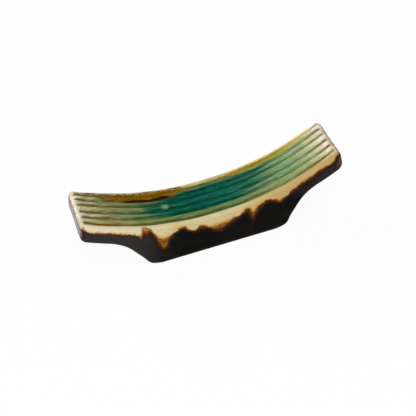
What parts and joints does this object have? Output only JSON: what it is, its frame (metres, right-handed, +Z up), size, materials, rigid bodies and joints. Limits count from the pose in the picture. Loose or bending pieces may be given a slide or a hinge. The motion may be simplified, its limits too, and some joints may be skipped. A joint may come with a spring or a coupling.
{
  "type": "chopstick rest",
  "caption": "Arched stoneware chopstick rest: a combed, hollow saddle with upturned ends on one solid flared foot, under layered green, amber, cream and dark iron glazes.",
  "frame": {"origin": "on the table, under the middle of the foot", "axes": "+X along the bar from its left to its right end as seen from the front, +Y from the front wall to the back wall, +Z up"},
  "size_m": [0.0696, 0.0152, 0.0195],
  "materials": {
    "stoneware": "bare fired stoneware, fine grained and matt",
    "iron_glaze": "near-black iron glaze, satin to glossy, rust brown where it is thin",
    "cream_glaze": "glossy cream glaze with amber and green tints where it is thick",
    "amber_glaze": "glossy transparent amber glaze",
    "green_glaze": "glossy copper green glaze, deep teal where it pools"
  },
  "bodies": {
    "root": {"clay_body": "stoneware", "iron_glaze_coat": "iron_glaze", "cream_glaze_coat": "cream_glaze", "amber_glaze_rim": "amber_glaze", "green_glaze_pool": "green_glaze", "amber_glaze_runs": "amber_glaze"}
  },
  "joints": []
}
